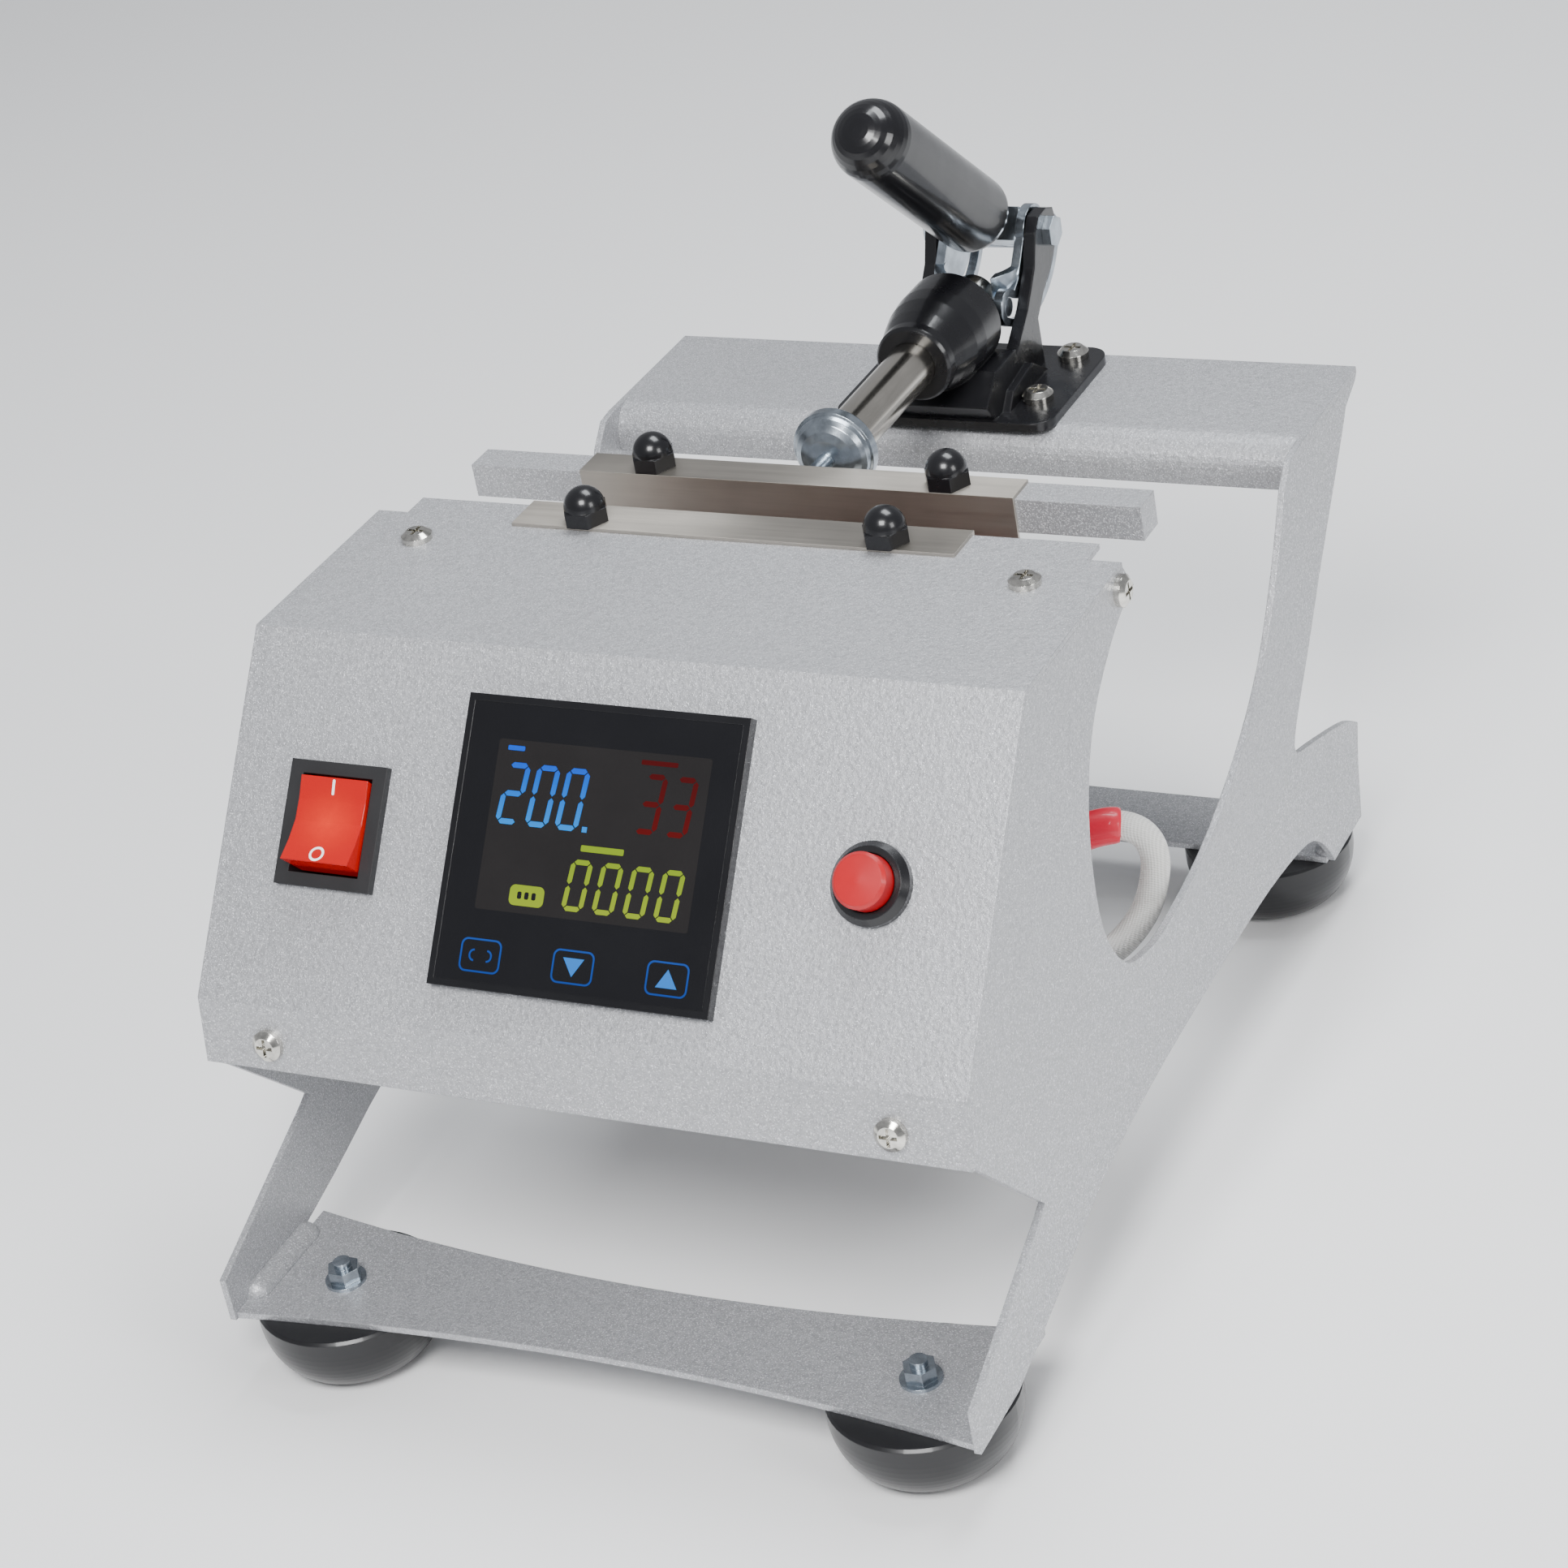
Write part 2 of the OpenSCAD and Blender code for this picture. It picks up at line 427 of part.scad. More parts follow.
module ear_2d() translate([piv_y, 0]) polygon([[-46, bridge_h + 2], [-15, bridge_h + 2], [-15.5, piv_z - 23], [-9, piv_z - 17], [-1, piv_z - 12], [5, piv_z - 6],
  [7.5, piv_z], [6, piv_z + 5.5], [1, piv_z + 7.5], [-5, piv_z + 7], [-9, piv_z + 3], [-13, piv_z - 7], [-22, piv_z - 17], [-34, piv_z - 26]]);
module slab(r) { // flat plate with rounded corners
  dx = 37 - r;
  translate([-37, base_y0 + r, 0]) cube([74, base_y1 - base_y0 - 2 * r, 3]);
  translate([-dx, base_y0, 0]) cube([2 * dx, base_y1 - base_y0, 3]);
  both() for (y = [base_y0 + r, base_y1 - r]) translate([dx, y, 0]) cylinder(h = 3, r = r);
}
module clamp_body() color(BLACK) at() difference() {
  union() {
    translate([0, 0, bridge_h]) slab(7);
    both() yz(ear_x, ear_t) ear_2d();
    yz(-ear_x - ear_t, 2 * (ear_x + ear_t)) polygon([[base_y0 + 2, bridge_h + 2], [barrel_y1, bridge_h + 2], [barrel_y1, axis_z - 10], [barrel_y0 + 18, axis_z - 10], [base_y0 - 3, bridge_h + 9]]);
    both() yz(ear_x + ear_t - 0.5, 3.3) polygon([[base_y0 + 6, bridge_h + 2], [piv_y - 18, bridge_h + 2], [piv_y - 30, bridge_h + 10], [base_y0 + 12, bridge_h + 8]]);
    translate([0, 0, axis_z]) along_y(barrel_y0) rotate_extrude($fn = 96)
      polygon([[0, 0], [11.6, 0], [12.4, 1], [12.6, 4], [14, 9], [15.4, 15], [16, 21], [16, barrel_y1 - barrel_y0 - 1.5], [14.5, barrel_y1 - barrel_y0], [0, barrel_y1 - barrel_y0]]);
  }
  translate([0, 0, axis_z]) along_y(barrel_y0 - 1) cylinder(h = 60, r = bore_r);
  along_x(piv_y, piv_z) cylinder(h = 100, r = piv_r, center = true);
  bolt_spots() cylinder(h = 60, r = 2.5 + screw_c, center = true);
}
module clamp_bolts() color(ZINC) at() bolt_spots() translate([0, 0, 3]) difference() {
  union() { cylinder(h = 2, r = 5); translate([0, 0, 2]) cylinder(h = 1.5, r1 = 5, r2 = 3.4); translate([0, 0, -9]) cylinder(h = 9, r = 2.5);
    translate([0, 0, -3 - plate_t - 3.5]) cylinder(h = 3.5, r = 4.6, $fn = 6); }
  for (a = [0, 90]) rotate([0, 0, a]) translate([-2.8, -0.6, 2]) cube([5.6, 1.2, 3]);
}
module pivot_bolt() color(ZINC) at() along_x(piv_y, piv_z) {
  cylinder(h = 2 * (ear_x + ear_t), r = piv_r - 0.01, center = true);
  both_z() translate([0, 0, ear_x + ear_t]) cylinder(h = 3, r = 5.2, $fn = 6);
}
module both_z() { children(); mirror([0, 0, 1]) children(); }
module plunger_rod() color(STEEL) at() difference() {
  translate([0, 0, axis_z]) along_y(bar_y1 + head_l) cylinder(h = pin_y + 7 - bar_y1 - head_l, r = plunger_d / 2);
  along_x(pin_y, axis_z) cylinder(h = 100, r = pin_r, center = true);
}
module plunger_head() color(ZINC) at() translate([0, 0, axis_z]) {
  along_y(bar_y1 + 11.5) rotate_extrude($fn = 96) polygon(concat([[0, 10.5], [0, 0]],
    [for (a = [15:15:90]) [12.2 * sin(a), 5.6 * (1 - cos(a))]], [[13, 6], [13, 9.2], [12.2, 10.5]]));
  along_y(bar_y1 - 6) cylinder(h = 18.5, r = 2.5);
}
module cross_pin() color(ZINC) at() along_x(pin_y, axis_z) cylinder(h = 2 * (yoke_xi + yoke_t), r = pin_r - 0.02, center = true);

lean = handle_lean;
module in_handle() translate([0, piv_y, piv_z]) rotate([lean, 0, 0]) children();
ring_y = piv_y - 12;
// path of the cross pin as the swinging yoke sees it, so that plunger travel is in proportion to the handle's angle
cam = [for (i = [0:28]) let (f = swing * i / 28, p = -travel + travel * i / 28, h = piv_z - axis_z) [p * cos(f) + h * sin(f), p * sin(f) - h * cos(f)]];
function cam_n(i) = let (t = cam[min(i + 1, 28)] - cam[max(i - 1, 0)]) [-t[1], t[0]] / norm(t);
module cam_strip(r) {
  polygon(concat([for (i = [0:28]) cam[i] + r * cam_n(i)], [for (i = [28:-1:0]) cam[i] - r * cam_n(i)]));
  for (i = [0, 28]) translate(cam[i]) circle(r = r);
}
module yoke_side_2d() difference() {
  union() {
    translate([piv_y, piv_z]) circle(r = 8.5);
    translate([piv_y, piv_z]) {
      polygon(concat([[0, 0]], cam));
      cam_strip(slot_r + 2.6);
    }
    translate([piv_y, piv_z]) polygon([[-16, -20.5], [-4, -20.5], [6, -6], [-3, 8], [-16, -8]]);
  }
  translate([piv_y, piv_z]) circle(r = piv_r + run_c);
  translate([piv_y, piv_z]) cam_strip(slot_r);
}
module handle_yoke() color(ZINC) at() {
  both() yz(yoke_xi, yoke_t) yoke_side_2d();
  // strap round the front of the handle, open in the middle for the plunger and cut away below for the pin's sweep
  translate([0, ring_y, axis_z - 6]) difference() {
    cylinder(h = 14.5, r = yoke_xi + yoke_t);
    translate([0, 0, -1]) cylinder(h = 20, r = yoke_xi);
    translate([-50, 0, -1]) cube([100, 50, 20]);
    translate([-plunger_d / 2 - 0.8, -50, -1]) cube([plunger_d + 1.6, 50, 20]);
    translate([0, -ring_y, 6 - axis_z]) yz(-30, 60) translate([piv_y, piv_z]) {
      cam_strip(slot_r);
      polygon(concat(cam, [[cam[28][0], -60], [-60, -60], [-60, cam[0][1]]]));
    }
  }
  difference() {
    union() {
      along_x(piv_y, piv_z) cylinder(h = 2 * yoke_xi, r = 6.1, center = true);
      in_handle() translate([-yoke_xi, -5.5, 0]) cube([2 * yoke_xi, 11, 7.5]);
    }
    along_x(piv_y, piv_z) cylinder(h = 100, r = piv_r + run_c, center = true);
  }
}
grip_s = 13;
module handle_rod() color(STEEL) at() in_handle() translate([0, 0, 7.5]) cylinder(h = grip_s + grip_l - 12 - 7.5, r = 6);
module handle_grip() color(BLACK) at() in_handle() translate([0, 0, grip_s]) rotate_extrude($fn = 64) {
  r = grip_d / 2;
  polygon(concat([[6.02, 0], [r - 5, 0]], [for (a = [-75:15:0]) [r - 5 + 5 * cos(a), 5 + 5 * sin(a)]],
    [for (a = [0:10:90]) [r - 11 + 11 * cos(a), grip_l - 11 + 11 * sin(a)]], [[0, grip_l], [0, grip_l - 12], [6.02, grip_l - 12]]));
}

left_side_plate();
right_side_plate();
front_foot_rail();
rear_foot_rail();
clamp_bridge();
weld_beads();
feet();
foot_bolts();
front_cover();
box_pan();
cover_screws();
side_screws();
display_bezel();
display_glass();
controller_body();
rocker_bezel();
rocker_button();
button_collar();
button_cap();
button_nut();
relay();
terminal_block();
power_gland();
front_jacket();
front_heater();
strip_bolts();
front_caps();
slide_bar();
rear_jacket();
rear_heater();
bar_bolts();
rear_caps();
heater_cable();
cable_collar();
cable_grommet();
clamp_body();
clamp_bolts();
pivot_bolt();
plunger_rod();
plunger_head();
cross_pin();
handle_yoke();
handle_rod();
handle_grip();
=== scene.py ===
# %% [markdown]
# # A mug heat press
# This lesson builds the looks of a mug heat press round its CAD frame. The frame holds every rigid piece at
# its true size. Here each piece gets a procedural material, the heater loop and its lead are built as new
# meshes, and the display and the switch get their marks. Everything is in metres.

# %%
# Load the frame and keep the CAD box
import json
import math

import bmesh
import bpy
import numpy as np
from mathutils import Matrix, Vector


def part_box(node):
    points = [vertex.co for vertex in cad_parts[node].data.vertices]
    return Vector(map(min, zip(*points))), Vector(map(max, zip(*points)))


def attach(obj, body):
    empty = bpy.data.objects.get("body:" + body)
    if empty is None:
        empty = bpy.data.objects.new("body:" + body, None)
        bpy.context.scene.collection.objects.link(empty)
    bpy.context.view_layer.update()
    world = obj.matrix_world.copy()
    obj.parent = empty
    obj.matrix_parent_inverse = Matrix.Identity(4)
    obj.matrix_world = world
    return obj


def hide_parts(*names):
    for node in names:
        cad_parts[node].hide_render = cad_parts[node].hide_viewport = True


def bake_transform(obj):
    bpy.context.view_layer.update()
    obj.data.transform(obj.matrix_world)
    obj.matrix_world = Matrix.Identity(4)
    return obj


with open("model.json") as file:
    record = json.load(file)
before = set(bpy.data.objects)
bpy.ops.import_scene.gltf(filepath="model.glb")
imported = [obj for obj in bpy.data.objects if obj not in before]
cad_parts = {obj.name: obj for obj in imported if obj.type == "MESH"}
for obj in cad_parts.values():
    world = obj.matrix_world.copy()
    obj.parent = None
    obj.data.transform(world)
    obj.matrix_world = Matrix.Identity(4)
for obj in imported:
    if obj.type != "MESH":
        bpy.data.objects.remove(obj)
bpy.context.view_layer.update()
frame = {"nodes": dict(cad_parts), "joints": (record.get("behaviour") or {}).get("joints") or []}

NODES = frame["nodes"]

# %% [markdown]
# ## Places taken from the frame
# The push button slides straight into the sloped panel, so its joint axis gives the panel's normal.
# The middle of the display's glass gives the point that the display marks are laid out from.

# %%
# Panel axes and the display's middle
JOINTS = {j["name"]: j for j in frame["joints"]}
normal = -Vector(JOINTS["button_press"]["axis"]).normalized()
across = Vector((1, 0, 0))
upslope = normal.cross(across).normalized()
MM = 0.001


def middle(node):
    lo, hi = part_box(node)
    return (Vector(lo) + Vector(hi)) / 2


def top_along(node, direction):
    """How far a node reaches along a direction."""
    return max(v.co.dot(direction) for v in NODES[node].data.vertices)


def on_panel(base, u, v, rise=0.0):
    """A point u across and v up the slope from base, rise above it, in millimetres."""
    return base + (across * u + upslope * v + normal * rise) * MM


glass = middle("display_glass")
glass += normal * (top_along("display_glass", normal) - glass.dot(normal))
print("panel tilt, degrees:", round(math.degrees(math.atan2(upslope.z, upslope.y)), 1))

# %% [markdown]
# ## A small shader language
# Arithmetic on sockets reads like arithmetic on numbers: each operator adds one Math node. Any other node
# goes through one method, which takes the node's settings first and then its inputs.

# %%
# Socket arithmetic and the shader builder


class Value:
    """One output socket, with + - * / and a few functions that add Math nodes."""

    def __init__(self, shader, socket):
        self.shader, self.socket = shader, socket

    def _math(self, operation, *inputs, clamp=False):
        node = self.shader.nodes.new("ShaderNodeMath")
        node.operation, node.use_clamp = operation, clamp
        for slot, item in zip(node.inputs, inputs):
            self.shader.feed(slot, item)
        return Value(self.shader, node.outputs[0])

    def __add__(self, other): return self._math("ADD", self, other)
    def __radd__(self, other): return self._math("ADD", other, self)
    def __sub__(self, other): return self._math("SUBTRACT", self, other)
    def __rsub__(self, other): return self._math("SUBTRACT", other, self)
    def __mul__(self, other): return self._math("MULTIPLY", self, other)
    def __rmul__(self, other): return self._math("MULTIPLY", other, self)
    def __truediv__(self, other): return self._math("DIVIDE", self, other)
    def __rtruediv__(self, other): return self._math("DIVIDE", other, self)
    def __pow__(self, other): return self._math("POWER", self, other)
    def sine(self): return self._math("SINE", self)
    def absolute(self): return self._math("ABSOLUTE", self)
    def above(self, edge, soft):
        """0 below edge, 1 above edge + soft."""
        return self._math("MULTIPLY_ADD", self, 1 / soft, -edge / soft, clamp=True)


class Shader:
    """A material with a Principled surface, built node by node."""

    def __init__(self, name, **surface):
        self.material = bpy.data.materials.new(name)
        self.material.use_nodes = True
        self.nodes, self.links = self.material.node_tree.nodes, self.material.node_tree.links
        self.nodes.clear()
        self.output = self.nodes.new("ShaderNodeOutputMaterial")
        self.surface = self.nodes.new("ShaderNodeBsdfPrincipled")
        self.links.new(self.surface.outputs[0], self.output.inputs[0])
        for key, item in surface.items():
            self.set(key.replace("_", " ").title().replace("Ior", "IOR"), item)

    def feed(self, slot, item):
        """Links a Value, or sets a plain number, vector or colour."""
        if isinstance(item, Value):
            self.links.new(item.socket, slot)
        elif isinstance(item, (tuple, list)) and slot.type == "RGBA" and len(item) == 3:
            slot.default_value = (*item, 1)
        else:
            slot.default_value = item

    def set(self, name, item):
        self.feed(self.surface.inputs[name], item)
        return self

    def add(self, kind, settings=None, output=0, **inputs):
        """Any node: settings first, then inputs by name, with _ for a space."""
        node = self.nodes.new("ShaderNode" + kind)
        for key, item in (settings or {}).items():
            setattr(node, key, item)
        for key, item in inputs.items():
            name = key.replace("_", " ")
            by_index = name[0] == "i" and name[1:].isdigit()
            self.feed(node.inputs[int(name[1:])] if by_index else node.inputs[name], item)
        return Value(self, node.outputs[output])

    def place(self):
        return self.add("TexCoord", output="Object")

    def stretch(self, vector, x=1.0, y=1.0, z=1.0):
        return self.add("VectorMath", {"operation": "MULTIPLY"}, i0=vector, i1=(x, y, z))

    def noise(self, scale, detail=2.0, rough=0.5, vector=None, output=0):
        return self.add("TexNoise", {"noise_dimensions": "3D"}, output=output,
                        Vector=vector or self.place(), Scale=scale, Detail=detail, Roughness=rough)

    def mix(self, share, a, b):
        a, b = ((*c, 1) if isinstance(c, tuple) else c for c in (a, b))
        return self.add("Mix", {"data_type": "RGBA"}, output=2, i0=share, i6=a, i7=b)

    def relief(self, height, depth_mm, strength=1.0, edge_mm=0.0):
        """Bump of a height field, over edges rounded by edge_mm."""
        inputs = {"Height": height, "Distance": depth_mm * MM, "Strength": strength}
        if edge_mm:
            inputs["Normal"] = self.add("Bevel", {"samples": 4}, Radius=edge_mm * MM)
        self.set("Normal", self.add("Bump", **inputs))
        return self

    def rounded(self, edge_mm):
        self.set("Normal", self.add("Bevel", {"samples": 4}, Radius=edge_mm * MM))
        return self


print("shader language ready")

# %% [markdown]
# ## Paint
# The sheet metal wears a silver-grey powder coat. Close up it is orange peel about half a millimetre across
# with tiny flakes in it, and its edges catch the light. Slow variation keeps large faces from looking flat.

# %%
# Powder coat


def powder(name, tint, peel):
    s = Shader(name, metallic=0.5, coat_weight=0.15, coat_roughness=0.25)
    place = s.place()
    flakes = s.noise(2200, 1.0, 0.6, place).above(0.57, 0.10)
    cloud = s.noise(9, 3.0, 0.5, place)
    peel_field = s.noise(640, 2.0, 0.55, place)
    mottle = s.noise(900, 2.0, 0.6, place)
    base = s.mix(cloud.above(0.3, 0.4), tuple(0.92 * c for c in tint), tint)
    grainy = s.mix(mottle.above(0.35, 0.3), tuple(0.74 * c for c in tint), base)
    s.set("Base Color", s.mix(flakes * 0.6, grainy, (0.93, 0.94, 0.97)))
    s.set("Roughness", 0.44 - 0.2 * flakes + 0.08 * cloud)
    return s.relief(peel_field + 0.3 * flakes, peel, 0.85, 0.5)


PAINT = powder("silver_powder_coat", (0.46, 0.465, 0.485), 0.26)
WELD = powder("painted_weld", (0.46, 0.465, 0.485), 0.4)
print("paint:", PAINT.material.name)

# %% [markdown]
# ## Metals
# The clamp strips are brushed stainless with streaks along X. The clamp's small parts are zinc plated, which
# has a blue-grey mottle. The screws are bright nickel, and the plunger is ground steel with a warm tone.

# %%
# Stainless, zinc, nickel and ground steel


def brushed(name, tint, rough, stretch, streak=0.12):
    s = Shader(name, metallic=1.0, anisotropic=0.5)
    grain = s.noise(900, 3.0, 0.6, s.stretch(s.place(), *stretch))
    stain = s.noise(22, 3.0, 0.55)
    dark = tuple(0.62 * c for c in tint)
    s.set("Base Color", s.mix(0.5 * grain + 0.5 * stain.above(0.35, 0.35), dark, tint))
    s.set("Roughness", rough + streak * grain + 0.08 * stain)
    return s.relief(grain, 0.02, 0.35, 0.25)


def plated(name, tint, rough, mottle_scale, edge):
    s = Shader(name, metallic=1.0)
    mottle = s.noise(mottle_scale, 4.0, 0.6)
    s.set("Base Color", s.mix(mottle.above(0.35, 0.3), tuple(0.6 * c for c in tint), tint))
    s.set("Roughness", rough + 0.16 * mottle)
    return s.relief(mottle, 0.05, 0.3, edge)


STAINLESS = brushed("brushed_stainless", (0.60, 0.56, 0.50), 0.36, (0.03, 1.0, 1.0))
GROUND = brushed("ground_steel", (0.70, 0.66, 0.59), 0.10, (1.0, 0.12, 1.0), 0.08)
ZINC = plated("zinc_plate", (0.50, 0.56, 0.62), 0.16, 160, 0.35)
NICKEL = plated("nickel_plate", (0.80, 0.78, 0.72), 0.08, 300, 0.3)
print("metals:", [m.material.name for m in (STAINLESS, GROUND, ZINC, NICKEL)])

# %% [markdown]
# ## Blacks and colours
# The grip, caps and feet are glossy black with a faint unevenness in the gloss. The clamp body is black
# enamel over a casting, so it keeps a slow wave. The rocker is a clear red shell with a lamp inside,
# brighter in the middle. The button is a plain moulded red.

# %%
# Plastics, rubber and enamel


def glossy(name, tint, rough, wave_scale, wave_mm, coat=0.3, edge=0.4):
    s = Shader(name, coat_weight=coat, coat_roughness=0.06, specular_ior_level=0.4)
    wave = s.noise(wave_scale, 3.0, 0.5)
    smear = s.noise(60, 4.0, 0.6)
    s.set("Base Color", s.mix(smear, tint, tuple(1.5 * c for c in tint)))
    s.set("Roughness", rough + 0.15 * smear)
    return s.relief(wave, wave_mm, 0.4, edge)


GRIP = glossy("dipped_vinyl", (0.004, 0.004, 0.005), 0.16, 45, 0.5)
RUBBER = glossy("black_rubber", (0.006, 0.006, 0.007), 0.26, 120, 0.2, 0.2)
CAP = glossy("cap_plastic", (0.005, 0.005, 0.006), 0.18, 300, 0.05, 0.25, 0.5)
ENAMEL = glossy("black_enamel", (0.004, 0.004, 0.005), 0.2, 90, 0.5, 0.3, 0.9)
MATT = glossy("matt_black_plastic", (0.010, 0.010, 0.011), 0.45, 900, 0.04, 0.05)
GLASS = glossy("display_glass", (0.003, 0.003, 0.004), 0.08, 20, 0.02, 0.2, 0.1)
BEZEL = glossy("display_bezel", (0.004, 0.004, 0.005), 0.14, 300, 0.02, 0.2, 0.35)
BUTTON = glossy("red_button", (0.33, 0.002, 0.006), 0.30, 300, 0.02, 0.15, 0.5)
PALE = glossy("pale_plastic", (0.70, 0.69, 0.63), 0.45, 400, 0.03, 0.1)
SILICONE = glossy("red_silicone", (0.18, 0.07, 0.055), 0.5, 700, 0.06, 0.0)
SHRINK = glossy("red_heat_shrink", (0.60, 0.010, 0.035), 0.35, 220, 0.25, 0.3)


def lit_rocker():
    s = Shader("lit_red_rocker", base_color=(0.50, 0.004, 0.002), roughness=0.2, coat_weight=0.25,
               transmission_weight=0.25, coat_roughness=0.05)
    lamp = middle("rocker_button")
    reach = s.add("VectorMath", {"operation": "DISTANCE"}, output="Value", i0=s.place(), i1=tuple(lamp))
    glow = 1.0 - reach.above(0.001, 0.013)
    wobble = s.noise(260, 3.0, 0.6)
    s.set("Emission Color", s.mix(glow * glow * (0.6 + 0.8 * wobble), (0.16, 0.0, 0.0), (1.0, 0.075, 0.01)))
    s.set("Emission Strength", 0.7)
    return s.rounded(0.5)


ROCKER = lit_rocker()
print("plastics and lit rocker ready")

# %% [markdown]
# ## Materials on the CAD nodes
# Every rigid node keeps its shape and takes one of these materials.

# %%
# Paint the frame
FINISHES = {
    PAINT: ["left_side_plate", "right_side_plate", "front_foot_rail", "rear_foot_rail", "clamp_bridge",
            "front_cover", "box_pan", "slide_bar"],
    WELD: ["weld_beads"],
    RUBBER: ["feet", "cable_grommet"],
    ZINC: ["foot_bolts", "button_nut", "strip_bolts", "bar_bolts", "pivot_bolt", "plunger_head", "cross_pin",
           "handle_yoke"],
    NICKEL: ["cover_screws", "side_screws", "clamp_bolts"],
    CAP: ["front_caps", "rear_caps", "button_collar"],
    MATT: ["controller_body", "rocker_bezel", "relay", "power_gland"],
    ENAMEL: ["clamp_body"],
    GRIP: ["handle_grip"],
    GLASS: ["display_glass"],
    BEZEL: ["display_bezel"],
    BUTTON: ["button_cap"],
    ROCKER: ["rocker_button"],
    PALE: ["terminal_block"],
    STAINLESS: ["front_jacket", "rear_jacket"],
    GROUND: ["plunger_rod", "handle_rod"],
    SILICONE: ["front_heater", "rear_heater"],
    SHRINK: ["cable_collar"],
}
for shader, names in FINISHES.items():
    for name in names:
        NODES[name].data.materials.clear()
        NODES[name].data.materials.append(shader.material)
unpainted = sorted(set(NODES) - {n for names in FINISHES.values() for n in names})
print("nodes still to replace:", unpainted)

# %% [markdown]
# ## Camera, light and floor
# A long lens from the front right, above the press, with the slight roll of a hand-held shot. A large soft
# light stands in front of the press, a second hangs over its rear, and a weaker one stands at the right.

# %%
# Stage


def unit_axes(yaw, pitch, roll):
    """Right, up and forward of a camera that turns, looks down and then rolls."""
    forward = Vector((-math.sin(yaw) * math.cos(pitch), math.cos(yaw) * math.cos(pitch), -math.sin(pitch)))
    right = forward.cross(Vector((0, 0, 1))).normalized()
    up = right.cross(forward)
    rolled_right = right * math.cos(roll) + up * math.sin(roll)
    rolled_up = up * math.cos(roll) - right * math.sin(roll)
    return rolled_right, rolled_up, forward


camera = bpy.data.objects.new("camera", bpy.data.cameras.new("camera"))
bpy.context.scene.collection.objects.link(camera)
bpy.context.scene.camera = camera
right, up, forward = unit_axes(math.radians(30.48), math.radians(29.91), math.radians(-10.58))
pivot = Vector(JOINTS["handle_hinge"]["pos_m"])
eye = Vector((0.5060, pivot.y - 1.0515, pivot.z + 0.4831))
camera.matrix_world = Matrix.Translation(eye) @ Matrix((right, up, -forward)).transposed().to_4x4()
camera.data.sensor_width = 36
camera.data.lens = 90.3
camera.data.clip_start = 0.05


def area(name, place, target, size, power, tint=(1, 1, 1)):
    lamp = bpy.data.objects.new(name, bpy.data.lights.new(name, "AREA"))
    lamp.data.shape, lamp.data.size, lamp.data.size_y = "RECTANGLE", size[0], size[1]
    lamp.data.energy, lamp.data.color = power, tint
    lamp.location = place
    lamp.rotation_euler = (Vector(target) - Vector(place)).to_track_quat("-Z", "Y").to_euler()
    bpy.context.scene.collection.objects.link(lamp)
    return lamp


AIM = (0, 0, 0.12)
area("key_light", (0.22, -1.0, 1.2), AIM, (0.6, 0.5), 26)
area("top_light", (0.15, 0.45, 1.5), AIM, (0.8, 0.6), 20, (0.94, 0.97, 1.0))
area("side_light", (1.4, -0.5, 0.75), AIM, (0.5, 0.6), 9)
world = bpy.data.worlds.new("studio")
world.use_nodes = True
world.node_tree.nodes["Background"].inputs[0].default_value = (0.93, 0.95, 1.0, 1)
world.node_tree.nodes["Background"].inputs[1].default_value = 0.42
bpy.context.scene.world = world

floor_shader = Shader("pale_floor", roughness=0.7)
floor_tone = floor_shader.mix(floor_shader.noise(3.0), (0.93, 0.93, 0.93), (0.96, 0.96, 0.96))
floor_shader.set("Base Color", floor_tone)
mesh = bpy.data.meshes.new("floor")
mesh.from_pydata([(-6, -6, 0), (6, -6, 0), (6, 6, 0), (-6, 6, 0)], [], [(0, 1, 2, 3)])
floor = bpy.data.objects.new("floor", mesh)
bpy.context.scene.collection.objects.link(floor)
mesh.materials.append(floor_shader.material)
print("camera lens:", camera.data.lens)

# %% [markdown]
# ## Mesh helpers
# A band is a closed strip of sheet that follows a profile in the YZ plane, with a set width along X. A tube
# follows a path. Flat marks are thin prisms on the display glass.

# %%
# Build meshes from points and faces


def new_piece(name, points, faces, shader, smooth=True):
    data = bpy.data.meshes.new(name)
    data.from_pydata([tuple(p) for p in points], [], faces)
    data.update()
    data.materials.append(shader.material)
    for polygon in data.polygons:
        polygon.use_smooth = smooth
    piece = bpy.data.objects.new(name, data)
    bpy.context.scene.collection.objects.link(piece)
    return piece


def outward(piece):
    work = bmesh.new()
    work.from_mesh(piece.data)
    bmesh.ops.recalc_face_normals(work, faces=work.faces)
    work.to_mesh(piece.data)
    work.free()
    return piece


def spline(points, steps):
    """A smooth path through points, steps to a span."""
    p = [np.array(v, float) for v in points]
    p = [2 * p[0] - p[1]] + p + [2 * p[-1] - p[-2]]
    path = []
    for a, b, c, d in zip(p, p[1:], p[2:], p[3:]):
        for t in np.linspace(0, 1, steps, endpoint=False):
            square, cube = 2 * a - 5 * b + 4 * c - d, 3 * b - a - 3 * c + d
            path.append(0.5 * (2 * b + (c - a) * t + square * t * t + cube * t ** 3))
    return path + [p[-2]]


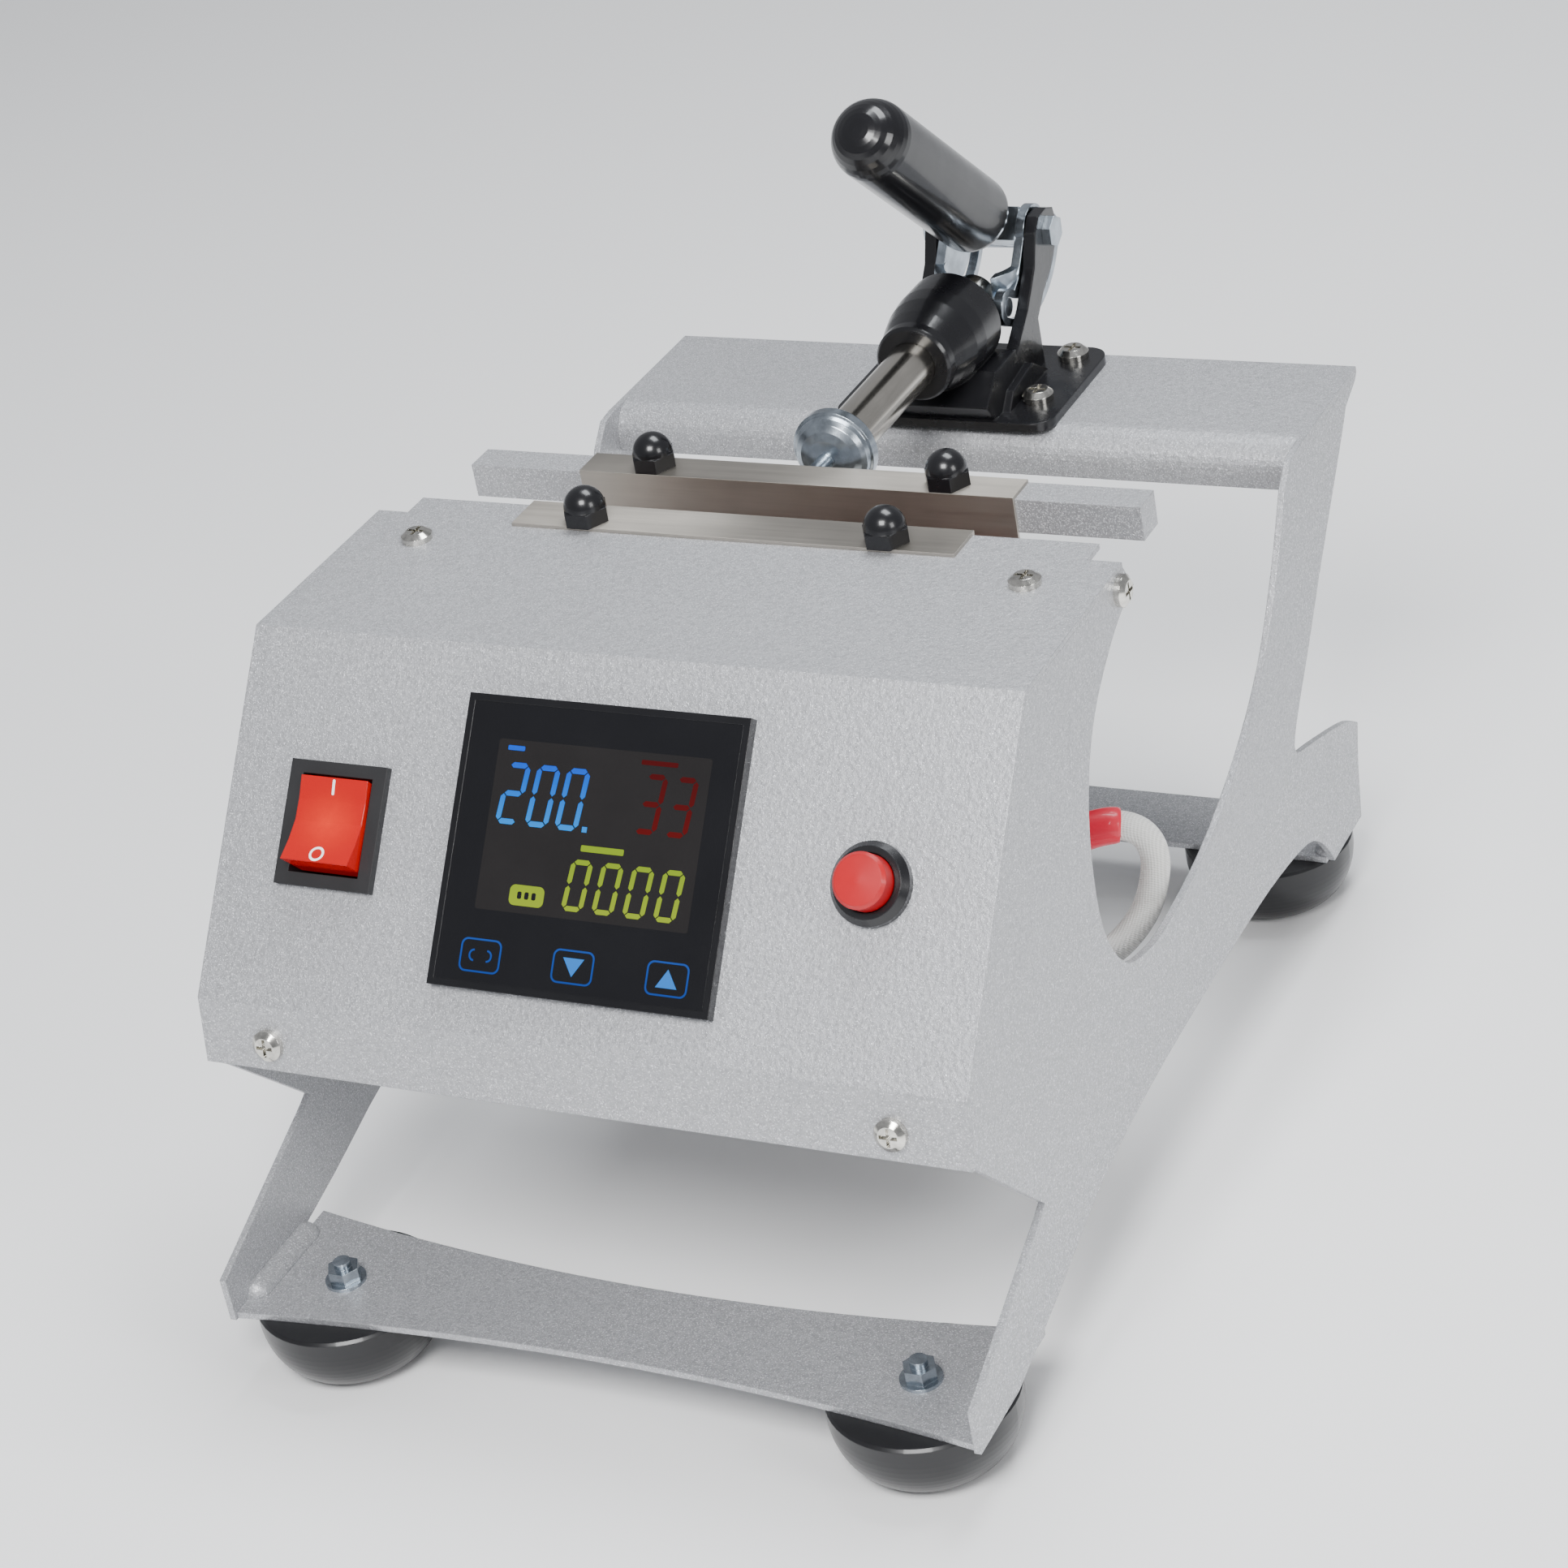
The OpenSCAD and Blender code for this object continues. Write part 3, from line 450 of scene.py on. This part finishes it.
def tube(name, path, radius, shader, sides=20):
    """A round tube along path. radius is a number, or a function of the share of the way along."""
    path = [np.array(v, float) for v in path]
    turn = np.linspace(0, 2 * math.pi, sides, endpoint=False)
    carried, points = None, []
    for i, p in enumerate(path):
        t = path[min(i + 1, len(path) - 1)] - path[max(i - 1, 0)]
        t /= np.linalg.norm(t)
        if carried is None:
            carried = np.cross(t, (0, 0, 1) if abs(t[2]) < 0.8 else (0, 1, 0))
        else:
            carried = carried - t * (carried @ t)
        carried /= np.linalg.norm(carried)
        other = np.cross(t, carried)
        r = radius(i / (len(path) - 1)) if callable(radius) else radius
        points += [p + r * (carried * math.cos(a) + other * math.sin(a)) for a in turn]
    faces = [tuple(range(sides - 1, -1, -1)), tuple(range(len(points) - sides, len(points)))]
    for a in range(0, (len(path) - 1) * sides, sides):
        b = a + sides
        faces += [(a + j, a + (j + 1) % sides, b + (j + 1) % sides, b + j) for j in range(sides)]
    return outward(new_piece(name, points, faces, shader))


def prism(name, outlines, rise, thick, shader):
    """Flat shapes on the display glass. Each outline is a list of (u, v), in mm from the glass's middle."""
    points, faces = [], []
    for outline in outlines:
        n, k = len(outline), len(points)
        points += [on_panel(glass, u, v, rise + h) for h in (0, thick) for u, v in outline]
        faces += [tuple(range(k + n - 1, k - 1, -1)), tuple(range(k + n, k + 2 * n))]
        faces += [(k + i, k + (i + 1) % n, k + n + (i + 1) % n, k + n + i) for i in range(n)]
    return outward(new_piece(name, points, faces, shader, smooth=False))


print("mesh helpers ready")

# %% [markdown]
# ## Display
# The glass shows three numbers in slanted seven-segment digits, three touch keys and a small pill-shaped
# status lamp. The marks are thin lit films on the glass.

# %%
# Seven-segment digits and key outlines


def lamp_shader(name, low, high, strength, v_low, v_high):
    """A lit film whose colour runs up the panel from low to high."""
    s = Shader(name, roughness=0.4, specular_ior_level=0.1, base_color=tuple(0.1 * c for c in high))
    dot = {"operation": "DOT_PRODUCT"}
    height = s.add("VectorMath", dot, output="Value", i0=s.place(), i1=tuple(upslope))
    base = glass.dot(upslope)
    share = height.above(base + v_low * MM, (v_high - v_low) * MM)
    s.set("Emission Color", s.mix(share * (0.85 + 0.3 * s.noise(1500)), low, high))
    s.set("Emission Strength", strength)
    return s


SEGMENTS = {"0": "abcdef", "1": "bc", "2": "abged", "3": "abgcd", "4": "fgbc", "5": "afgcd",
            "6": "afgedc", "7": "abc", "8": "abcdefg", "9": "abcdfg"}
SLANT = 0.10


def digit(char, u, v, w, h, stroke):
    """Outlines of one digit whose lower left corner is at (u, v)."""
    s, gap = stroke / 2, stroke * 0.16
    ends = {"a": ((0, h), (w, h)), "b": ((w, h), (w, h / 2)),
            "c": ((w, h / 2), (w, 0)), "d": ((0, 0), (w, 0)),
            "e": ((0, h / 2), (0, 0)), "f": ((0, h), (0, h / 2)), "g": ((0, h / 2), (w, h / 2))}
    shapes = []
    for name in SEGMENTS[char]:
        (x0, y0), (x1, y1) = ends[name]
        if y0 == y1:
            x0, x1 = x0 + gap, x1 - gap
            flat = [(x0, y0), (x0 + s, y0 + s), (x1 - s, y0 + s),
                    (x1, y0), (x1 - s, y0 - s), (x0 + s, y0 - s)]
        else:
            y0, y1 = y0 - gap, y1 + gap
            flat = [(x0, y0), (x0 + s, y0 - s), (x0 + s, y1 + s),
                    (x0, y1), (x0 - s, y1 + s), (x0 - s, y0 - s)]
        shapes.append([(u + x + SLANT * y, v + y) for x, y in flat])
    return shapes


def number(text, u, v, w, h, pitch, stroke):
    shapes = []
    for i, char in enumerate(text.replace(".", "")):
        shapes += digit(char, u + i * pitch, v, w, h, stroke)
    if "." in text:
        x = u + (len(text) - 1) * pitch - pitch * 0.16
        low, high = v - stroke / 2, v + stroke / 2
        shapes.append([(x, low), (x + stroke, low), (x + stroke, high), (x, high)])
    return shapes


def rounded_box(u, v, w, h, r, corner=6):
    centres = [(u + w / 2 - r, v + h / 2 - r, 0), (u - w / 2 + r, v + h / 2 - r, 90),
               (u - w / 2 + r, v - h / 2 + r, 180), (u + w / 2 - r, v - h / 2 + r, 270)]
    return [(x + r * math.cos(math.radians(a + b)), y + r * math.sin(math.radians(a + b)))
            for x, y, a in centres for b in np.linspace(0, 90, corner)]


def ring(outer, inner):
    """Quads between two outlines of equal length."""
    n = len(outer)
    return [[outer[i], outer[(i + 1) % n], inner[(i + 1) % n], inner[i]] for i in range(n)]


FILM = 0.06
lit = {}
blue = lamp_shader("lit_blue", (0.0, 0.36, 1.0), (0.0, 0.11, 0.85), 0.95, 5, 22)
dim_red = lamp_shader("lit_dark_red", (0.17, 0.004, 0.004), (0.10, 0.002, 0.003), 0.8, 5, 22)
lime = lamp_shader("lit_lime", (0.46, 0.62, 0.03), (0.36, 0.55, 0.02), 0.7, -16, -2)
key_blue = lamp_shader("lit_key_blue", (0.01, 0.07, 0.42), (0.015, 0.10, 0.52), 0.75, -36, -25)
arrow_blue = lamp_shader("lit_arrow_blue", (0.03, 0.27, 0.95), (0.04, 0.30, 0.95), 0.8, -36, -25)
window = glossy("display_window", (0.009, 0.008, 0.008), 0.05, 20, 0.01, 0.1, 0.0)

lit["display_window"] = prism("display_window", [rounded_box(0.9, 5.0, 65, 46.5, 0.8)], 0.01, 0.02, window)
upper_left = number("200.", -28.6, 6.0, 5.6, 15.4, 9.2, 1.5)
upper_right = number("33", 13.6, 7.2, 5.4, 14.8, 9.2, 1.5)
lower = number("0000", -4.6, -15.4, 5.2, 12.6, 9.3, 1.4)
lit["digits_upper_left"] = prism("digits_upper_left", upper_left, 0.03, FILM, blue)
lit["digits_upper_right"] = prism("digits_upper_right", upper_right, 0.03, FILM, dim_red)
lit["digits_lower"] = prism("digits_lower", lower, 0.03, FILM, lime)
lit["status_pill"] = prism("status_pill", [rounded_box(-16.2, -13.4, 10.6, 5.6, 1.6)], 0.03, FILM, lime)
pill_dots = [rounded_box(-16.2 + 2.2 * i, -13.4, 1.3, 2.0, 0.4, 3) for i in (-1, 0, 1)]
lit["status_pill_marks"] = prism("status_pill_marks", pill_dots, 0.10, 0.03, GLASS)

KEY_V, KEY_W, KEY_H = -30.8, 12.6, 9.2
KEYS_U = (-27.6, 0.9, 29.4)
outlines = []
for u in KEYS_U:
    inner = rounded_box(u, KEY_V, KEY_W - 1.0, KEY_H - 1.0, 1.6)
    outlines += ring(rounded_box(u, KEY_V, KEY_W, KEY_H, 2.0), inner)
lit["key_outlines"] = prism("key_outlines", outlines, 0.02, FILM, key_blue)
loop_key = ring(rounded_box(KEYS_U[0], KEY_V, 7.2, 3.4, 1.6), rounded_box(KEYS_U[0], KEY_V, 6.2, 2.4, 1.15))
open_loop = [q for i, q in enumerate(loop_key) if i not in (5, 17)]
lit["loop_key_mark"] = prism("loop_key_mark", open_loop, 0.02, FILM, key_blue)
arrows = [[(KEYS_U[1] - 3.2, KEY_V + 2.4), (KEYS_U[1] + 3.2, KEY_V + 2.4), (KEYS_U[1], KEY_V - 2.6)],
          [(KEYS_U[2] - 3.2, KEY_V - 2.4), (KEYS_U[2] + 3.2, KEY_V - 2.4), (KEYS_U[2], KEY_V + 2.6)]]
lit["arrow_marks"] = prism("arrow_marks", arrows, 0.02, FILM, arrow_blue)
# short plain dashes where small captions would be
lit["caption_blue"] = prism("caption_blue", [rounded_box(-26.0, 26.0, 5.2, 1.3, 0.3, 3)], 0.03, FILM, blue)
lit["caption_red"] = prism("caption_red", [rounded_box(18.0, 25.6, 11.0, 1.3, 0.3, 3)], 0.03, FILM, dim_red)
lit["caption_lime"] = prism("caption_lime", [rounded_box(4.6, 1.0, 13.0, 1.7, 0.3, 3)], 0.03, FILM, lime)
for piece in lit.values():
    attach(piece, "frame")
print("display marks:", len(lit))

# %% [markdown]
# ## Rocker marks
# A white bar and a white ring are printed on the rocker's two faces. They ride on the rocker.

# %%
# Bar and ring on the rocker
white_ink = glossy("white_ink", (0.80, 0.78, 0.76), 0.4, 400, 0.01, 0.0, 0.0)
rocker_mesh = NODES["rocker_button"].data
PIVOT = Vector(JOINTS["rocker_hinge"]["pos_m"])


def rocker_face(side):
    """Centre, along-slope direction and normal of the rocker's upper (+1) or lower (-1) outer face."""
    best = None
    for f in rocker_mesh.polygons:
        n = f.normal
        c = f.center - PIVOT
        if n.dot(normal) > 0.9 and c.dot(upslope) * side > 0 and abs(n.x) < 0.01:
            if best is None or c.dot(upslope) * side > (best[0] - PIVOT).dot(upslope) * side:
                best = (f.center.copy(), n.copy())
    centre, n = best
    along = n.cross(across).normalized()
    centre.x = PIVOT.x
    return centre, along, n


def rocker_mark(name, side, shift, shapes):
    centre, along, n = rocker_face(side)
    points, faces = [], []
    for outline in shapes:
        k, m = len(points), len(outline)
        points += [centre + (across * u + along * (v + shift) + n * h) * MM
                   for h in (0.02, 0.07) for u, v in outline]
        faces += [tuple(range(k + m - 1, k - 1, -1)), tuple(range(k + m, k + 2 * m))]
        faces += [(k + i, k + (i + 1) % m, k + m + (i + 1) % m, k + m + i) for i in range(m)]
    mark = outward(new_piece(name, points, faces, white_ink, smooth=False))
    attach(mark, "rocker")
    return mark


turn = np.linspace(0, 2 * math.pi, 28, endpoint=False)
circle = [[(r * math.cos(a), r * math.sin(a)) for a in turn] for r in (2.3, 1.6)]
rocker_mark("rocker_bar", 1, -0.5, [rounded_box(0, 0, 0.8, 4.4, 0.35, 3)])
rocker_mark("rocker_ring", -1, 0.5, ring(*circle))
print("rocker marks ready")

# %% [markdown]
# ## Heater loop
# The loop is one bendable mat: brown-red silicone inside a thin steel jacket. Its front end is bolted to the
# box and its rear end to the bar, so it opens when the bar slides back. One continuous band replaces the two
# CAD halves of the mat, and another the two halves of the jacket.

# %%
# Loop centre and radii, from the boxes of its halves
mat_lo, mat_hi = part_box("front_heater")
front_lo, front_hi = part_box("front_jacket")
rear_lo, rear_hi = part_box("rear_jacket")
loop_y, loop_r = (front_lo.y + rear_hi.y) / 2, (rear_hi.y - front_lo.y) / 2
loop_z = front_lo.z + loop_r
STEPS = 120


def arc(radius, front_y, rear_y):
    """Points round the loop, from the neck at front_y, under the mug, to the neck at rear_y."""
    start = math.pi - math.acos((loop_y - front_y) / radius)
    end = 2 * math.pi + math.acos((rear_y - loop_y) / radius)
    angles = np.linspace(start, end, STEPS)
    return [(loop_y + radius * math.cos(a), loop_z + radius * math.sin(a)) for a in angles]


def flat_length(*profiles):
    """Mean length of the profiles in millimetres: the sheet's length when it is laid flat."""
    total = sum(math.dist(a, b) for profile in profiles for a, b in zip(profile, profile[1:]))
    return total / len(profiles) / MM


def band(name, inner, outer, x0, x1, shader, x_steps=24):
    """A closed strip of sheet between two YZ profiles with the same number of points."""
    n, faces = len(inner), []
    points = [(x, y, z) for x in np.linspace(x0, x1, x_steps) for y, z in list(inner) + list(outer)]
    for i in range(x_steps - 1):
        a, b = i * 2 * n, (i + 1) * 2 * n
        for j in range(n - 1):
            faces += [(a + j, a + j + 1, b + j + 1, b + j),
                      (a + n + j, b + n + j, b + n + j + 1, a + n + j + 1)]
        faces += [(a + j, b + j, b + n + j, a + n + j) for j in (0, n - 1)]
    for a in (0, (x_steps - 1) * 2 * n):
        faces += [(a + j, a + n + j, a + n + j + 1, a + j + 1) for j in range(n - 1)]
    piece = outward(new_piece(name, points, faces, shader))
    piece.data.set_sharp_from_angle(angle=math.radians(40))
    return piece


print("loop radius, mm:", round(loop_r / MM, 2), "centre height:", round(loop_z / MM, 1))

# %%
# Silicone mat


def silicone_shader():
    """Silicone with the weave of the glass cloth inside it and the ridges of the heating wire."""
    s = Shader("heater_silicone")
    place = s.place()
    x, z = (s.add("SeparateXYZ", output=axis, Vector=place) for axis in "XZ")
    weave = (x * 5200).sine() * (z * 5200).sine()
    wire = (x * 520).sine().above(0.86, 0.1)
    s.set("Base Color", s.mix(0.5 + 0.3 * weave, (0.15, 0.055, 0.042), (0.22, 0.085, 0.065)))
    s.set("Roughness", 0.46 + 0.1 * weave)
    return s.relief(0.3 * weave + wire, 0.25, 0.5)


def mat_profile(radius, front_y, rear_y, top):
    body = arc(radius, front_y, rear_y)
    rise = np.linspace(top, body[0][1], 6, endpoint=False)
    return [(front_y, z) for z in rise] + body + [(rear_y, z) for z in rise[::-1]]


def face_span(node, height):
    """Least and greatest Y of the corners of a node at one height."""
    ys = [v.co.y for v in NODES[node].data.vertices if abs(v.co.z - height) < 0.01 * MM]
    return min(ys), max(ys)


neck_top = mat_hi.z
front_out, front_in = face_span("front_heater", neck_top)
rear_in, rear_out = face_span("rear_heater", neck_top)
mat_t = front_in - front_out
jacket_t = front_hi.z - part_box("front_cover")[1].z
mat_inside = mat_profile(loop_r - jacket_t - mat_t, front_in, rear_in, neck_top)
mat_outside = mat_profile(loop_r - jacket_t - 0.05 * MM, front_out, rear_out, neck_top)
heater_mat = band("heater_mat", mat_inside, mat_outside, mat_lo.x, mat_hi.x, silicone_shader())
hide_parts("front_heater", "rear_heater")
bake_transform(heater_mat)
print("mat, mm: flat length", round(flat_length(mat_inside, mat_outside)),
      "width", round((mat_hi.x - mat_lo.x) / MM), "thickness", round(mat_t / MM, 2))

# %% [markdown]
# The jacket is one sheet. Its front end lies on the box as the strip under two caps, folds down, follows the
# mat round the mug, rises up the bar's front face and folds back over the bar's top.

# %%
# Steel jacket
strip_front, strip_back = face_span("front_jacket", front_hi.z)
wrap_front, wrap_back = face_span("rear_jacket", rear_hi.z)


def sheet(front_y, rear_y, radius, front_top, rear_top):
    """One face of the whole sheet: strip, fold, loop, fold, lid."""
    body = arc(radius, front_y, rear_y)
    down = np.linspace(front_top, body[0][1], 10)[:-1]
    rise = np.linspace(body[-1][1], rear_top, 10)[1:]
    strip = [(y, front_top) for y in np.linspace(strip_front, front_y, 8)[:-1]]
    lid = [(y, rear_top) for y in np.linspace(rear_y, wrap_back, 8)[1:]]
    return strip + [(front_y, z) for z in down] + body + [(rear_y, z) for z in rise] + lid


mug_side = sheet(strip_back, wrap_front, loop_r - jacket_t, front_hi.z, rear_hi.z)
outer_side = sheet(strip_back - jacket_t, wrap_front + jacket_t, loop_r,
                   front_hi.z - jacket_t, rear_hi.z - jacket_t)
steel_jacket = band("steel_jacket", mug_side, outer_side, front_lo.x, front_hi.x, STAINLESS)
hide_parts("front_jacket", "rear_jacket")
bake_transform(steel_jacket)
print("jacket, mm: flat length", round(flat_length(mug_side, outer_side)),
      "width", round((front_hi.x - front_lo.x) / MM), "thickness", round(jacket_t / MM, 2))

# %% [markdown]
# ## Heater lead
# The lead leaves the right end of the mat in a red heat-shrink collar, bends down and goes forward into the
# back of the control box. Its sleeve is braided glass fibre, so it gets crossing strands and a slight wobble.

# %%
# Braided sleeve and collar
FLANGE_T, FLANGE_W = 1.5 * MM, 3.3 * MM  # grommet flange: thickness, and its reach past the lead
grommet_lo, grommet_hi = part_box("cable_grommet")
plate_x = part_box("right_side_plate")[1].x
hole = (grommet_lo + grommet_hi) / 2
wall_y = grommet_hi.y - FLANGE_T
lead_r = (grommet_hi.x - grommet_lo.x) / 2 - FLANGE_W
lead_route = [(x, y, z) for x, y, z in (
    (mat_hi.x, loop_y - 0.020, loop_z - 0.0385), (mat_hi.x + 0.003, loop_y - 0.020, loop_z - 0.0385),
    (mat_hi.x + 0.011, loop_y - 0.019, loop_z - 0.036), (plate_x - 0.028, loop_y - 0.0155, loop_z - 0.030),
    (plate_x - 0.017, loop_y - 0.011, loop_z - 0.0285), (plate_x - 0.0105, loop_y - 0.008, loop_z - 0.034),
    (plate_x - 0.009, loop_y - 0.0085, loop_z - 0.044), (plate_x - 0.012, loop_y - 0.015, loop_z - 0.056),
    (plate_x - 0.018, loop_y - 0.030, loop_z - 0.060), (plate_x - 0.024, wall_y + 0.024, hole.z - 0.022),
    (hole.x, wall_y + 0.014, hole.z - 0.007), (hole.x, wall_y + 0.008, hole.z),
    (hole.x, wall_y + 0.003, hole.z), (hole.x, wall_y - 0.010, hole.z))]


def braid_shader():
    s = Shader("glass_fibre_sleeve", sheen_weight=0.25)
    place = s.place()
    x, y, z = (s.add("SeparateXYZ", output=axis, Vector=place) for axis in "XYZ")
    drift = s.noise(120) * 2.0
    weave = ((x + y + z) * 3600 + drift).sine() * ((x - y - z) * 3600 + drift).sine()
    grime = s.noise(70, 4.0, 0.6)
    clean = s.mix(0.5 + 0.5 * weave, (0.62, 0.61, 0.58), (0.85, 0.84, 0.81))
    s.set("Base Color", s.mix(grime.above(0.55, 0.3) * 0.3, clean, (0.55, 0.52, 0.46)))
    s.set("Roughness", 0.7 + 0.15 * weave)
    return s.relief(weave, 0.18, 0.7)


SPAN = 14
path = spline(lead_route, SPAN)
lead = tube("heater_lead", path, lead_r, braid_shader(), 28)
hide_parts("heater_cable")
collar_path = path[round(2.8 * SPAN):4 * SPAN + 1]
collar = tube("lead_collar", collar_path, lambda t: lead_r + (1.2 - 0.5 * (2 * t - 1) ** 6) * MM, SHRINK, 28)
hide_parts("cable_collar")
for piece in (lead, collar):
    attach(piece, "frame")
length = sum(math.dist(a, b) for a, b in zip(path, path[1:]))
print("lead length, mm:", round(length / MM))
